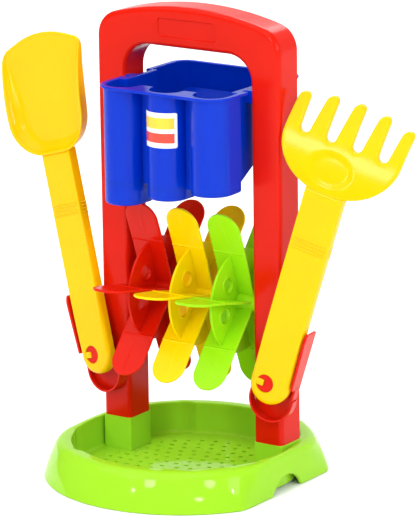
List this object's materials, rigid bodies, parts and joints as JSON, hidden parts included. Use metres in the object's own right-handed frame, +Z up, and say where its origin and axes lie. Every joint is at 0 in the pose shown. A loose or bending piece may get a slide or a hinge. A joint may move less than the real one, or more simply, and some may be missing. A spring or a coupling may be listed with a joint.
{
  "type": "sand wheel toy",
  "caption": "Sand wheel toy: a tray with an arched carrying frame, a hopper over paddle wheels on one axle, and a hung shovel and rake.",
  "frame": {"origin": "middle of the tray's underside, on the ground", "axes": "+Z up, -Y the front that the hopper's rounded lobes and the hung tools face, +X to the right as seen from the front, along the axle"},
  "size_m": [0.3794, 0.226, 0.372],
  "materials": {
    "tray_green": "glossy moulded polypropylene",
    "frame_red": "glossy moulded polypropylene",
    "hopper_blue": "glossy moulded polypropylene",
    "label_white": "printed film label",
    "axle_white": "moulded polypropylene",
    "tool_yellow": "glossy moulded polypropylene",
    "wheel_green": "glossy moulded polypropylene"
  },
  "bodies": {
    "stand": {"base_tray": "tray_green", "frame": "frame_red", "hopper": "hopper_blue", "hopper_label": "label_white"},
    "wheels": {"axle": "axle_white", "wheel_left": "frame_red", "wheel_middle": "tool_yellow", "wheel_right": "wheel_green"},
    "shovel": {"shovel": "tool_yellow"},
    "rake": {"rake": "tool_yellow"}
  },
  "joints": [
    {"name": "wheel_spin", "type": "hinge", "parent": "stand", "child": "wheels", "pos_m": [0, 0.021, 0.141], "axis": [1, 0, 0], "continuous": true},
    {"name": "shovel_off", "type": "slide", "parent": "stand", "child": "shovel", "axis": [-0.1746, -0.9841, 0.0335], "range_m": [0, 0.04]},
    {"name": "rake_off", "type": "slide", "parent": "stand", "child": "rake", "axis": [0.1746, -0.9841, 0.0335], "range_m": [0, 0.04]}
  ]
}
